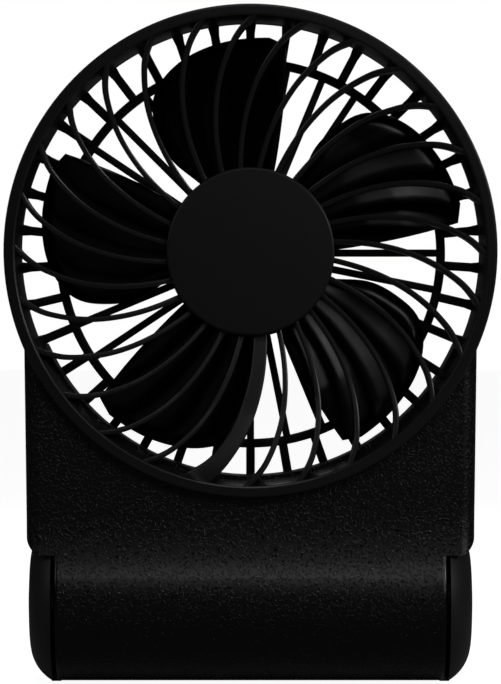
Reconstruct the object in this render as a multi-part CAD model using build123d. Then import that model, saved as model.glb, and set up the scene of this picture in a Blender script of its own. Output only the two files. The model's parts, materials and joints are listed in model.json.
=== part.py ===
from build123d import *
import os
from math import atan, atan2, cos, hypot, pi, radians, sin, sqrt, tan

os.makedirs("parts", exist_ok=True)

# A folding desk fan. Millimetres, +Z up, the fan blows towards -Y.
# Everything is laid out about the hinge: the hinge axis runs along X at y = 0,
# and the head axis runs along Y. The finished pieces are then moved back so that
# the origin is on the desk, under the middle of the whole object.

# ---------------------------------------------------------------- driving sizes
head_radius = 55.0            # outside of the round head
hinge_height = 19.0           # hinge axis above the desk
head_low = 24.1               # lowest point of the head above the hinge axis
pad_height = 0.8              # rubber pads below the stand

# Fan body, measured from the hinge axis
panel_ahead = 14.0            # front face of the panel
panel_behind = 7.5            # rear face of the panel and head
panel_over_barrel = 5.8       # panel wider than the barrel on each side, at hinge height
panel_spread = 1.1            # panel wider on each side at head height than at hinge height
panel_front_round = 3.0
panel_rear_round = 2.0
head_rear_round = 1.5
barrel_radius = 18.0
barrel_half = 44.1            # half length of the barrel
barrel_round = 1.2
front_sweep = 46.5            # hollow sweep from panel to barrel, in front
rear_sweep = 8.0              # the same behind
wall = 2.0                    # shell wall
barrel_end_wall = 2.5

# Guard: ring, dished vanes and hub, one moulding
ring_ahead = 17.0             # ring face ahead of the hinge axis
ring_round = 1.0
lip_width = 2.6               # width of the ring face, out to the edge of the head
throat_width = 3.8            # the same at the inner end of the guard wall
spigot_clearance = 0.1        # guard spigot to the bore of the head
guard_depth = 8.0             # ring face to the inner end of the spigot
vane_count = 28
vane_width = 1.2
vane_first_angle = 5.7        # where the first vane leaves the hub
duct_vane = 6                 # this vane is wide and carries the motor lead
duct_hub_width = 3.0
duct_rim_width = 4.8
duct_channel_depth = 2.4      # at the rim
duct_hub_depth = 1.8
web_groove = 0.95             # depth of the lead's groove in the guard web
hub_radius = 18.9             # visible hub disc
hub_face = 10.0               # hub disc ahead of the hinge axis
hub_cap_thickness = 1.2
hub_cap_overlap = 0.4         # hub disc wider than the guard hub behind it
guard_hub_rear = 5.2          # rear edge of the guard hub, ahead of the axis
guard_web_front = 7.4
guard_web_rear = 6.0
cap_spigot_fit = 0.3          # hub disc spigot to the inside of the guard hub
cap_spigot_wall = 1.0
guard_hub_wall = 1.2

# Head bore and rear grille
head_wall = 2.2
liner_step = 2.3              # bore beside the panel smaller than the bore of the head
liner_wall = 1.8
liner_top = 77.4              # height where the narrow bore ends
grille_seat_wall = 1.4        # head wall left round the rear grille
grille_front = 5.0            # behind the hinge axis
grille_thickness = 2.2
grille_clearance = 0.1
grille_rim_width = 1.1
grille_ring_inner = 42.5
grille_ring_width = 2.0
grille_hub_radius = 19.2
inner_spoke_count = 32
inner_spoke_width = 1.65
outer_spoke_count = 38
outer_spoke_width = 2.0
outer_spoke_flare = 2.75
outer_spoke_sag = 1.03        # degrees by which the outer spokes hang down at both sides

# Impeller
blade_count = 5
blade_tip_room = 1.7          # blade tips to the bore beside the panel
blade_thickness = 1.2
blade_pitch = 7.7             # axial rise in mm for each radian
blade_middle = 0.1            # ahead of the hinge axis
blade_first_angle = 257.0
impeller_hub_radius = 18.0
impeller_hub_wall = 1.8
impeller_front = 4.6          # ahead of the axis
impeller_rear = 4.6           # behind the axis
impeller_web = 1.0

# Motor
shaft_radius = 1.0
shaft_front = 6.9
bearing_radius = 2.5
bearing_length = 2.5
running_gap = 0.03
tube_wall = 1.1
tube_rear = 1.8
motor_flange_radius = 9.0
motor_flange_rear = 4.6
motor_board_radius = 15.4
motor_board_thickness = 0.8
motor_board_rear = 3.7
board_hole_room = 0.2         # board holes larger than what passes through them
stator_radius = 12.0
stator_half = 1.5
stator_middle = 1.1           # ahead of the axis
stator_hub_wall = 2.0
pole_count = 9
pole_tip_thickness = 1.3
pole_tip_share = 0.82         # width of a pole tip over the pitch of the poles
tooth_width = 1.8
coil_width = 3.5
coil_round = 0.7
coil_overhang = 0.8
coil_fit = 0.02
magnet_gap = 0.6
magnet_wall = 2.2
magnet_front = 3.0
magnet_rear = 1.8
rotor_wall = 1.1
rotor_floor = 1.0
rotor_front = 3.2
clip_thickness = 0.4
clip_slot = 0.8
screw_head_share = 1.9        # head radius of the small screws over their thread radius
screw_head_height = 1.2
motor_screw_radius = 1.0
motor_screw_circle = 6.4
motor_screw_count = 3

# Battery, boards and controls
cell_radius = 9.2
cell_length = 65.0
cell_round = 0.6
cell_button_radius = 3.2      # raised positive end
cell_button_height = 0.8
cell_clearance = 0.2
cradle_width = 2.0
cradle_spacing = 40.0
cradle_rise = 5.0             # cradles reach this far above the hinge axis
tab_thickness = 0.25
tab_width = 5.0
board_end_room = 2.4          # main board to the end walls of the barrel
board_bottom = 30.0
board_top = 52.0
board_thickness = 1.0
board_gap_to_head = 0.2
led_spacing = 5.4
led_height = 38.3
led_width = 1.6
led_tall = 0.8
led_thickness = 0.7
pinhole_radius = 0.33
light_pipe_radius = 1.0
light_bar_ahead = 5.5         # bar that joins the three light pipes
light_bar_thickness = 1.3
usb_x = -33.0
usb_head_room = 6.92          # middle of the port to the main board's edge round the head
usb_width = 8.94
usb_tall = 3.26
usb_depth = 7.0
usb_shell = 0.3
usb_back = 0.8
usb_tongue_width = 6.6
usb_tongue_tall = 0.7
usb_room = 0.25               # opening wider than the socket on each side
button_x = 33.0
button_head_room = 6.07       # middle of the button to the same edge
button_radius = 3.6
button_clearance = 0.15
button_flange = 1.0
button_flange_lip = 1.0       # flange wider than the button
button_flange_gap = 0.2       # flange to the inside of the shell
button_round = 0.4
button_proud = 0.5
button_travel = 0.5
switch_size = 6.0
switch_tall = 3.5
switch_well = 1.5             # floor of the plunger well behind the board
plunger_radius = 1.7
plunger_clearance = 0.1
plunger_gap = 0.2             # plunger to the well floor when pressed

# Screws
shell_screw_radius = 1.1
shell_screw_head = 2.0
shell_screw_length = 10.0
shell_screw_seat = 3.5        # head seat behind the axis
shell_screw_head_height = 1.4
screw_room = 0.2              # clearance holes and head wells round a screw
shell_boss_radius = 3.0
upper_screw_inset = 4.9       # in from the side of the panel at hinge height
upper_screw_height = 66.0
lower_screw_inset = 6.4
lower_screw_height = 42.0
board_screw_radius = 1.0
board_screw_x = 24.0
board_screw_height = 40.0
board_screw_reach = 4.0       # thread behind the hinge axis
board_boss_radius = 2.5

# Stand and hinge
disc_radius = 18.2            # end discs of the stand
disc_gap = 0.5                # end of the barrel to each end disc
disc_thickness = 5.65
dome_rise = 0.48              # rise of the middle of the dome over its knee
dome_knee = 0.5               # knee of the dome, as a share of the disc radius
hinge_gap = 0.8               # air between the discs and the fan body
stand_rear = 72.0             # rear edge of the stand behind the hinge
stand_height = 6.0
stand_side_inset = 0.95       # side of the stand plate in from the top of the domes
stand_front = 5.0             # front edge of the plate behind the hinge
stand_corner = 20.0
stand_front_corner = 8.0
stand_low_round = 3.8         # large round under the plate edge
stand_top_round = 1.5
stand_rim = 6.5
stand_top_wall = 1.4
stand_blend = 2.5
cover_thickness = 1.6
cover_clearance = 0.15
cover_gap = 0.3               # above the cover, and past the ends of its screws
ballast_thickness = 2.7
ballast_front = 22.0
ballast_rear_room = 8.0       # to the rear edge of the stand
ballast_side_room = 4.5       # to the middle of the stand screws
ballast_corner = 6.0
pad_sink = 0.5
pad_clearance = 0.05
pad_front = 8.0
pad_length = 40.0
pad_inset = 0.7               # side pads reach in past the ends of the barrel
pad_width = 2.2
rear_pad_half = 24.0
rear_pad_edge = 3.0           # rear pad to the rear edge of the stand
stand_screw_inset = 12.0      # in from the side of the stand
stand_screw_front = 24.0
stand_screw_rear_inset = 20.0
stand_screw_radius = 1.1
stand_screw_head_height = 0.9
stand_screw_seat = 1.0        # head seat above the bottom of the stand
stand_screw_length = 3.3      # from the seat to the end of the thread
stand_boss_radius = 3.0
pin_radius = 4.0
pin_gap = 0.05
pin_head_radius = 6.5
pin_head_thickness = 1.5
pocket_radius = 9.0
pocket_floor = 1.6            # wall left under the pin head
washer_radius = 9.0
washer_thickness = 0.4
spring_thickness = 1.2
nut_size = 11.0               # across flats
nut_thickness = 3.2
hinge_cap_clearance = 0.1

# Motor lead and battery leads
lead_radius = 0.7
lead_start = 13.0             # where the lead leaves the motor board, from the head axis
lead_hook = 9.0               # turn of the lead as it leaves the vane, in degrees
lead_room = 0.4               # channel wider than the lead on each side
wire_radius = 0.5

# -------------------------------------------------------------- derived places
head_height = hinge_height + head_low + head_radius
lip_radius = head_radius - lip_width
throat_radius = head_radius - throat_width
bore_radius = head_radius - head_wall
spigot_radius = bore_radius - spigot_clearance
liner_radius = bore_radius - liner_step
grille_seat_radius = head_radius - grille_seat_wall
grille_ring_outer = grille_ring_inner + grille_ring_width
blade_tip_radius = liner_radius - blade_tip_room
guard_hub_radius = hub_radius - hub_cap_overlap
cap_spigot_radius = guard_hub_radius - guard_hub_wall - cap_spigot_fit
panel_half_low = barrel_half + panel_over_barrel
panel_half_top = panel_half_low + panel_spread
board_half = barrel_half - barrel_end_wall - board_end_room
upper_screw_x = panel_half_low - upper_screw_inset
lower_screw_x = panel_half_low - lower_screw_inset
disc_inner = barrel_half + disc_gap
disc_outer = disc_inner + disc_thickness
stand_half = disc_outer - stand_side_inset
stand_screw_x = stand_half - stand_screw_inset
stand_screw_rear = stand_rear - stand_screw_rear_inset
ballast_half = stand_screw_x - ballast_side_room
ballast_rear = stand_rear - ballast_rear_room
pad_inner = barrel_half - pad_inset
board_hole_radius = grille_seat_radius + liner_wall + board_gap_to_head
usb_height = head_height - sqrt((board_hole_radius + usb_head_room) ** 2 - usb_x ** 2)
button_height = head_height - sqrt((board_hole_radius + button_head_room) ** 2 - button_x ** 2)
notch_radius = disc_radius + hinge_gap
move_back = (disc_radius - stand_rear) / 2
stand_bottom = pad_height
stand_top = stand_bottom + stand_height
vane_pitch = 360 / vane_count
magnet_inner = stator_radius + magnet_gap
magnet_outer = magnet_inner + magnet_wall
rotor_inner = magnet_outer + 0.05
rotor_outer = rotor_inner + rotor_wall
tube_bore = bearing_radius + 0.02
tube_radius = tube_bore + tube_wall
grille_rear = grille_front + grille_thickness
grille_shelf = grille_front - 0.2
liner_front = -(ring_ahead - guard_depth) + 0.3
far = 300.0                   # longer than the whole object

# sockets for the leads on the main board: low and high corner in x, y, z
lead_socket = (-21.5, -16.5, -board_thickness - 3.5, -board_thickness, 31.0, 35.0)
battery_socket = (16.5, 21.5, 0.0, 3.5, 31.0, 35.0)
# charger chip, coil and controller on the main board, in the same way
board_boxes = [(8.0, 13.0, -board_thickness - 1.0, -board_thickness, 32.5, 37.5),
               (-14.0, -9.0, -board_thickness - 2.4, -board_thickness, 31.5, 36.5),
               (-2.5, 2.5, 0.0, 1.6, 32.5, 37.5)]
# vane centre line: radius and how far it has turned since the hub, in degrees
vane_knots = [(9.5, 4.0), (19.5, 9.2), (27.5, 14.6), (31.1, 17.6)]   # radii beyond the hub, for this reach
vane_reach = 34.3
vane_stretch = (bore_radius - guard_hub_radius) / vane_reach
vane_line = [(guard_hub_radius - 0.3, 0.0)]
vane_line += [(guard_hub_radius + beyond * vane_stretch, turn) for beyond, turn in vane_knots]
vane_line += [(bore_radius, 21.3)]
channel_line = vane_line + [(head_radius + 2.0, 25.4)]
# blade outline about its own middle line: radius and angle in degrees
blade_lead = [(impeller_hub_radius - 0.8, -22.0), (26.9, -27.4), (36.0, -24.0), (42.0, -18.6), (46.0, -8.6),
              (48.0, 4.0), (blade_tip_radius, 18.0)]
blade_trail = [(blade_tip_radius - 1.4, 23.0), (36.0, 25.4), (26.8, 27.4), (impeller_hub_radius - 0.8, 30.0)]


# ------------------------------------------------------------------ small helps
def block(x0, x1, y0, y1, z0, z1):
    """Box between two corners."""
    return Pos((x0 + x1) / 2, (y0 + y1) / 2, (z0 + z1) / 2) * Box(x1 - x0, y1 - y0, z1 - z0)


def disc_y(radius, y0, y1, x=0.0, z=head_height):
    """Round bar along Y, by default on the head axis."""
    return Pos(x, (y0 + y1) / 2, z) * Rot(90, 0, 0) * Cylinder(radius, y1 - y0)


def bar_z(radius, z0, z1, x, y):
    """Upright round bar."""
    return Pos(x, y, (z0 + z1) / 2) * Cylinder(radius, z1 - z0)


def ring_y(outer, inner, y0, y1, x=0.0, z=head_height):
    """Tube along Y."""
    return disc_y(outer, y0, y1, x, z) - disc_y(inner, y0 - 1, y1 + 1, x, z)


def rod_x(radius, x0, x1, y=0.0, z=hinge_height):
    """Round bar along X, by default on the hinge axis."""
    return Pos((x0 + x1) / 2, y, z) * Rot(0, 90, 0) * Cylinder(radius, x1 - x0)


def ring_x(outer, inner, x0, x1):
    """Tube along X on the hinge axis."""
    return rod_x(outer, x0, x1) - rod_x(inner, x0 - 1, x1 + 1)


def polar(radius, angle):
    """Point about the head axis; the angle runs clockwise seen from the front."""
    return (radius * cos(radians(angle)), -radius * sin(radians(angle)))


def on_head(shape):
    """Move a shape made about the origin to the head axis."""
    return Pos(0, 0, head_height) * shape


def mirrored(shape):
    """The same shape on the other side of the middle plane."""
    return mirror(shape, about=Plane.YZ)


def revolved_y(points):
    """Solid of revolution about the head axis from (radius, y) corners."""
    face = make_face(Polyline(*points, close=True))
    return on_head(revolve(face, Axis.Y, 360))


def strip(points, widths):
    """Flat strip in the XZ plane along (radius, angle) points, made thick along Y."""
    middle = [polar(radius, angle) for radius, angle in points]
    left = []
    right = []
    for i, (x, z) in enumerate(middle):
        xa, za = middle[max(i - 1, 0)]
        xb, zb = middle[min(i + 1, len(middle) - 1)]
        length = hypot(xb - xa, zb - za)
        nx = -(zb - za) / length * widths[i] / 2
        nz = (xb - xa) / length * widths[i] / 2
        left.append((x + nx, z + nz))
        right.append((x - nx, z - nz))
    edges = Spline(*left) + Line(left[-1], right[-1]) + Spline(*right[::-1]) + Line(right[0], left[0])
    return extrude(Plane.XZ * make_face(edges), amount=far / 10, both=True)


# ------------------------------------------------------------ fan body, outside
def sweep_points(plane_y, radius, sweep):
    """Hollow arc that leaves the plane y = plane_y and meets the barrel smoothly."""
    side = 1 if plane_y > 0 else -1
    centre_y = plane_y + side * sweep
    centre_z = sqrt((radius + sweep) ** 2 - centre_y ** 2)
    turn = atan2(centre_z, abs(centre_y))
    start = (plane_y, hinge_height + centre_z)
    middle = (centre_y - side * sweep * cos(turn / 2), hinge_height + centre_z - sweep * sin(turn / 2))
    end = (centre_y - side * sweep * cos(turn), hinge_height + centre_z - sweep * sin(turn))
    return start, middle, end


def panel_block(inset, front_round=0.0, rear_round=0.0):
    """The flat panel with its sweeps into the barrel, drawn in by inset on every side."""
    front = sweep_points(-panel_ahead + inset, barrel_radius - inset, front_sweep + inset)
    rear = sweep_points(panel_behind - inset, barrel_radius - inset, rear_sweep + inset)
    front_top = (front[0][0], head_height)
    rear_top = (rear[0][0], head_height)
    edges = Line(front_top, front[0]) + ThreePointArc(*front) + Line(front[2], (0, hinge_height))
    edges += Line((0, hinge_height), rear[2]) + ThreePointArc(*rear[::-1]) + Line(rear[0], rear_top)
    edges += Line(rear_top, front_top)
    slab = extrude(Plane.YZ * make_face(edges), amount=far / 4, both=True)
    low = panel_half_low - inset
    top = panel_half_top - inset
    corners = [(-low, hinge_height), (low, hinge_height), (top, head_height), (-top, head_height)]
    outline = extrude(Plane.XZ * make_face(Polyline(*corners, close=True)), amount=far / 4, both=True)
    slab = slab & outline
    if front_round:
        slab = fillet(side_edges(slab, -panel_ahead), front_round)
        slab = fillet(side_edges(slab, panel_behind), rear_round)
    return slab


def side_edges(slab, plane_y):
    """Edges where the side faces meet the flat and swept faces on one side of the slab."""
    chosen = []
    for edge in slab.edges():
        middle = edge @ 0.5
        upright = abs((edge @ 0).Z - (edge @ 1).Z) > 5
        at_side = abs(abs(middle.X) - (panel_half_low + panel_half_top) / 2) < 1.5
        same_side = middle.Y * plane_y > 0
        away = middle.Z > hinge_height + barrel_radius / 4 and abs(middle.Y) > abs(plane_y) * 0.9
        if upright and at_side and same_side and away:
            chosen.append(edge)
    return chosen


def panel_and_barrel():
    """Panel and barrel in one, cut away around the end discs, with rounded barrel ends."""
    body = panel_block(0, panel_front_round, panel_rear_round) + rod_x(barrel_radius, -barrel_half, barrel_half)
    body -= notches(notch_radius, barrel_half)
    return fillet(barrel_end_edges(body), barrel_round)


def barrel_end_edges(body):
    """Edges around the flat ends of the barrel, from notch to notch."""
    chosen = []
    for edge in body.edges():
        at_end = all(abs(abs((edge @ share).X) - barrel_half) < 0.01 for share in (0, 0.5, 1))
        reach = hypot((edge @ 0.5).Y, (edge @ 0.5).Z - hinge_height)
        if at_end and reach < notch_radius - 0.02:
            chosen.append(edge)
    return chosen


def head_block():
    """Round head behind the guard."""
    head = disc_y(head_radius, -panel_ahead, panel_behind)
    return fillet(head.edges().filter_by(GeomType.CIRCLE).sort_by(Axis.Y)[-1], head_rear_round)


def notches(radius, inner_x):
    """Round clearance for the end discs at both lower corners."""
    return rod_x(radius, inner_x, far / 4) + rod_x(radius, -far / 4, -inner_x)


def body_cavity():
    """Hollow inside of the fan body."""
    space = panel_block(wall) - notches(notch_radius + wall, barrel_half - barrel_end_wall)
    space += rod_x(barrel_radius - wall, -barrel_half + barrel_end_wall, barrel_half - barrel_end_wall)
    space -= disc_y(liner_radius + liner_wall, -far, far)
    space -= disc_y(bore_radius + liner_wall, -far, liner_front + liner_wall)
    space -= disc_y(grille_seat_radius + liner_wall, grille_shelf - liner_wall, far)
    return space


def head_bore():
    """Air way through the head, with the seats of the guard and of the rear grille."""
    way = disc_y(bore_radius, -far, liner_front)
    way += disc_y(liner_radius, liner_front - 1, far)
    wide = disc_y(bore_radius, liner_front - 1, far)
    way += wide & block(-far, far, -far, far, liner_top, far)
    way += disc_y(grille_seat_radius, grille_shelf, far)
    return way


def screw_places():
    """Shell screws: x and height."""
    places = []
    for side in (-1, 1):
        places.append((side * upper_screw_x, upper_screw_height))
        places.append((side * lower_screw_x, lower_screw_height))
    return places


def body_walls():
    """Both halves of the fan body in one, hollow and with every boss and rib."""
    outside = panel_and_barrel() + head_block()
    walls = outside - body_cavity()
    ribs = Part()
    for x, z in screw_places():
        ribs += disc_y(shell_boss_radius, -panel_ahead + wall / 2, panel_behind - wall / 2, x, z)
    for side in (-1, 1):
        x = side * board_screw_x
        ribs += disc_y(board_boss_radius, 0, panel_behind - wall / 2, x, board_screw_height)
        middle = side * cradle_spacing / 2
        cradle = ring_x(barrel_radius - wall / 2, cell_radius + cell_clearance,
                        middle - cradle_width / 2, middle + cradle_width / 2)
        ribs += cradle & block(-far, far, -far, far, -far, hinge_height + cradle_rise)
    walls += ribs & outside
    walls -= head_bore()
    walls -= rod_x(pin_radius + pin_gap, -barrel_half - 1, barrel_half + 1)
    return walls


def front_shell(walls):
    """Front half of the body with the three pinholes."""
    shell = walls & block(-far, far, -far, 0, -far, far)
    for x, z in screw_places():
        end = shell_screw_seat - shell_screw_length - 0.3
        shell -= disc_y(shell_screw_radius + running_gap, end, 1, x, z)
    for i in (-1, 0, 1):
        shell -= disc_y(pinhole_radius, -far / 4, -board_thickness - 3, i * led_spacing, led_height)
    path = lead_path()
    hole = Pos(*path[-4]) * Sphere(lead_radius + lead_room + 0.4)
    for a, b in ((path[-5], path[-4]), (path[-4], path[-3])):
        hole += cylinder_between(a, b, lead_radius + lead_room)
    return shell - (hole & block(-far, far, -far, 0, -far, head_height - liner_radius * 0.9))


def cylinder_between(a, b, radius):
    """Round bar between two points."""
    start = Vector(*a)
    reach = Vector(*b) - start
    return Plane(origin=start, z_dir=reach) * Pos(0, 0, reach.length / 2) * Cylinder(radius, reach.length)


def rear_shell(walls):
    """Rear half of the body with the button hole, charging port and screw wells."""
    shell = walls & block(-far, far, 0, far, -far, far)
    for x, z in screw_places():
        shell -= disc_y(shell_screw_radius + screw_room, -1, far / 4, x, z)
        shell -= disc_y(shell_screw_head + screw_room, shell_screw_seat, far / 4, x, z)
    for side in (-1, 1):
        x = side * board_screw_x
        shell -= disc_y(board_screw_radius + running_gap, -1, board_screw_reach + 0.3, x, board_screw_height)
    hole_radius = button_radius + button_clearance
    shell -= disc_y(hole_radius, panel_behind - wall - 1, far / 4, button_x, button_height)
    port = SlotOverall(usb_width + 2 * usb_room, usb_tall + 2 * usb_room)
    shell -= Pos(usb_x, 0, usb_height) * extrude(Plane.XZ * port, amount=-far / 4)
    return shell


# ------------------------------------------------------------------ front guard
def vane_envelope():
    """Dished space that the vanes fill, between the hub and the guard wall."""
    return revolved_y([
        (guard_hub_radius - 0.6, -hub_face + hub_cap_thickness + 0.05),
        (hub_radius + 0.1, -hub_face + hub_cap_thickness + 0.05),
        (lip_radius - 4, -ring_ahead + 1.4),
        (lip_radius + 0.1, -ring_ahead),
        (throat_radius + 0.2, -ring_ahead + guard_depth),
        (guard_hub_radius - 0.6, -guard_hub_rear)])


def front_guard():
    """Ring, 28 swept vanes and hub; one vane is a duct for the motor lead."""
    ring = revolved_y([
        (lip_radius, -ring_ahead),
        (head_radius - ring_round, -ring_ahead),
        (head_radius - ring_round * 0.3, -ring_ahead + ring_round * 0.3),
        (head_radius, -ring_ahead + ring_round),
        (head_radius, -panel_ahead),
        (spigot_radius, -panel_ahead),
        (spigot_radius, -ring_ahead + guard_depth),
        (throat_radius, -ring_ahead + guard_depth)])
    hub = revolved_y([
        (cap_spigot_radius + 0.1, -hub_face + hub_cap_thickness),
        (guard_hub_radius, -hub_face + hub_cap_thickness),
        (guard_hub_radius, -guard_hub_rear),
        (guard_hub_radius - guard_hub_wall, -guard_hub_rear),
        (guard_hub_radius - guard_hub_wall, -guard_web_rear),
        (shaft_radius * 2.8, -guard_web_rear),
        (shaft_radius * 2.8, -guard_web_front),
        (cap_spigot_radius + 0.1, -guard_web_front)])
    envelope = vane_envelope()
    plain = on_head(strip(vane_line, [vane_width] * len(vane_line))) & envelope
    step = (duct_rim_width - duct_hub_width) / (len(vane_line) - 1)
    wide = on_head(strip(vane_line, [duct_hub_width + step * i for i in range(len(vane_line))])) & envelope
    half = lead_channel() / 2
    channel = on_head(strip(channel_line, [lead_channel()] * len(channel_line))) & channel_space()
    channel += block(lead_start - 1, vane_line[0][0] + 0.6, -guard_web_rear - web_groove, -guard_hub_rear + 1,
                     head_height - half, head_height + half)
    vanes = []
    for k in range(vane_count):
        angle = vane_first_angle + k * vane_pitch
        vane = wide - channel if k == duct_vane else plain
        vanes.append(turned(vane, angle))
    guard = ring + hub
    guard = guard.fuse(*[solid for vane in vanes for solid in vane.solids()])
    for i in range(motor_screw_count):
        x, z = polar(motor_screw_circle, i * 360 / motor_screw_count + 90)
        guard -= disc_y(motor_screw_radius + 0.1, -far / 4, 0, x, head_height + z)
    guard -= turned(channel, vane_first_angle + duct_vane * vane_pitch)
    return guard


def lead_channel():
    """Width of the channel for the motor lead."""
    return 2 * (lead_radius + lead_room)


def channel_front(radius):
    """Bottom of the channel, ahead of the hinge axis, at a radius on the duct vane."""
    inner = guard_hub_rear + duct_hub_depth
    outer = duct_rear() + duct_channel_depth
    share = (radius - guard_hub_radius) / (throat_radius - guard_hub_radius)
    return inner + (outer - inner) * share


def duct_rear():
    """How far ahead of the hinge the rear edge of the duct vane lies at the rim."""
    return ring_ahead - guard_depth


def channel_space():
    """The groove in the back of the duct vane, through the hub rim and the guard wall."""
    start = guard_hub_radius - guard_hub_wall - 0.3
    end = spigot_radius + 0.2
    return revolved_y([
        (start, -channel_front(start)),
        (end, -channel_front(end)),
        (end, -duct_rear() + 1),
        (throat_radius - 1, -duct_rear() + 1),
        (start, -guard_hub_rear + 1)])


def turned(shape, angle):
    """Turn a piece about the head axis, clockwise seen from the front."""
    return on_head(Rot(0, angle, 0) * Pos(0, 0, -head_height) * shape)


def hub_cap():
    """Plain disc in front of the motor, with a short spigot into the guard hub."""
    cap = disc_y(hub_radius, -hub_face, -hub_face + hub_cap_thickness)
    cap = fillet(cap.edges().filter_by(GeomType.CIRCLE).sort_by(Axis.Y)[0], hub_cap_thickness / 3)
    front = -hub_face + hub_cap_thickness / 2
    cap += ring_y(cap_spigot_radius, cap_spigot_radius - cap_spigot_wall, front, -guard_web_front - 0.1)
    return cap


# ------------------------------------------------------------------ rear grille
def rear_grille():
    """Spoked grille with two rings, pressed into the back of the head."""
    rim_outer = grille_seat_radius - grille_clearance
    grille = ring_y(rim_outer, rim_outer - grille_rim_width, grille_front, grille_rear)
    grille += ring_y(grille_ring_outer, grille_ring_inner, grille_front, grille_rear)
    grille += disc_y(grille_hub_radius, grille_front, grille_rear)
    spokes = []
    inner_length = grille_ring_inner - grille_hub_radius + 1
    inner = block(grille_hub_radius - 0.5, grille_hub_radius - 0.5 + inner_length, grille_front, grille_rear,
                  head_height - inner_spoke_width / 2, head_height + inner_spoke_width / 2)
    for i in range(inner_spoke_count):
        spokes.append(turned(inner, i * 360 / inner_spoke_count))
    near = grille_ring_outer - 0.5
    last = rim_outer - grille_rim_width / 2
    bend = last - (last - near) * 0.3
    corners = [(near, -outer_spoke_width / 2), (bend, -outer_spoke_width / 2), (last, -outer_spoke_flare / 2),
               (last, outer_spoke_flare / 2), (bend, outer_spoke_width / 2), (near, outer_spoke_width / 2)]
    flat = Plane.XZ * make_face(Polyline(*corners, close=True))
    outer = on_head(Pos(0, grille_front, 0) * extrude(flat, amount=-grille_thickness))
    for i in range(outer_spoke_count):
        angle = (i + 0.5) * 360 / outer_spoke_count
        spokes.append(turned(outer, angle - outer_spoke_sag * cos(radians(angle))))
    return grille.fuse(*[solid for spoke in spokes for solid in spoke.solids()])


# --------------------------------------------------------------------- impeller
def blade():
    """One twisted blade, cut to its rounded outline, about its middle line along +X."""
    sections = []
    for radius in (12.0, 30.0, 54.0):
        slope = atan(blade_pitch / radius)
        plane = Plane(origin=(radius, -blade_middle, 0), x_dir=(0, -sin(slope), -cos(slope)), z_dir=(1, 0, 0))
        sections.append(plane * Rectangle(2 * radius * tan(radians(36)) / cos(slope), blade_thickness))
    band = loft(sections)
    lead = [polar(radius, angle) for radius, angle in blade_lead]
    trail = [polar(radius, angle) for radius, angle in blade_trail]
    edges = Spline(*lead) + ThreePointArc(lead[-1], polar(blade_tip_radius - 0.3, 21.6), trail[0])
    edges += Spline(*trail) + Line(trail[-1], lead[0])
    outline = extrude(Plane.XZ * make_face(edges), amount=far / 10, both=True)
    return band & outline


def impeller():
    """Hub cup with five blades."""
    cup = disc_y(impeller_hub_radius, -impeller_front, impeller_rear)
    cup -= disc_y(impeller_hub_radius - impeller_hub_wall, -impeller_front - 1, impeller_rear - impeller_web)
    one = on_head(blade())
    inside = disc_y(impeller_hub_radius - 0.4, -far / 4, far / 4)
    blades = []
    for i in range(blade_count):
        blades.append(turned(one, blade_first_angle + i * 360 / blade_count) - inside)
    return cup.fuse(*[solid for piece in blades for solid in piece.solids()])


# ------------------------------------------------------------------------ motor
def motor_shaft():
    """Plain shaft, fixed in the rotor cup."""
    return disc_y(shaft_radius, -shaft_front, impeller_rear - impeller_web)


def shaft_clip():
    """Open clip that holds the shaft in its bearings."""
    front = -guard_web_rear - 1.5 * clip_thickness
    clip = ring_y(shaft_radius * 2, shaft_radius, front, front + clip_thickness)
    slot = clip_slot / 2
    return clip - block(-slot, slot, front - 1, front + 1, head_height, head_height + shaft_radius * 3)


def bearing_tube():
    """Motor base: flange on the guard hub and the tube that holds both bearings."""
    tube = disc_y(motor_flange_radius, -guard_web_rear, -motor_flange_rear)
    tube += disc_y(tube_radius, -guard_web_rear, tube_rear)
    tube -= disc_y(tube_bore, -far / 4, far / 4)
    for i in range(motor_screw_count):
        x, z = polar(motor_screw_circle, i * 360 / motor_screw_count + 90)
        tube -= disc_y(motor_screw_radius, -far / 4, 0, x, head_height + z)
    return tube


def motor_bearings():
    """Two ball bearings, each as one ring."""
    bore = shaft_radius + running_gap
    front = ring_y(bearing_radius, bore, -guard_web_rear, -guard_web_rear + bearing_length)
    rear = ring_y(bearing_radius, bore, tube_rear - bearing_length, tube_rear)
    return Compound([front.solid(), rear.solid()])


def motor_screws():
    """Three pan head screws through the guard hub into the motor base."""
    screws = []
    for i in range(motor_screw_count):
        x, z = polar(motor_screw_circle, i * 360 / motor_screw_count + 90)
        z += head_height
        head = -guard_web_front - screw_head_height
        screw = disc_y(motor_screw_radius * screw_head_share, head, -guard_web_front, x, z)
        screw += disc_y(motor_screw_radius, head + screw_head_height / 2, -motor_flange_rear, x, z)
        screw -= slot_cross(x, head, z, motor_screw_radius)
        screws.append(screw.solid())
    return Compound(screws)


def slot_cross(x, y, z, size):
    """Cross recess in a screw head that faces -Y."""
    arm = size * 0.9
    thin = size * 0.22
    return block(x - arm, x + arm, y - 0.1, y + 0.6, z - thin, z + thin) + block(
        x - thin, x + thin, y - 0.1, y + 0.6, z - arm, z + arm)


def motor_board():
    """Round driver board behind the motor flange."""
    front = -motor_board_rear - motor_board_thickness
    return ring_y(motor_board_radius, tube_radius + board_hole_room, front, -motor_board_rear)


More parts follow.
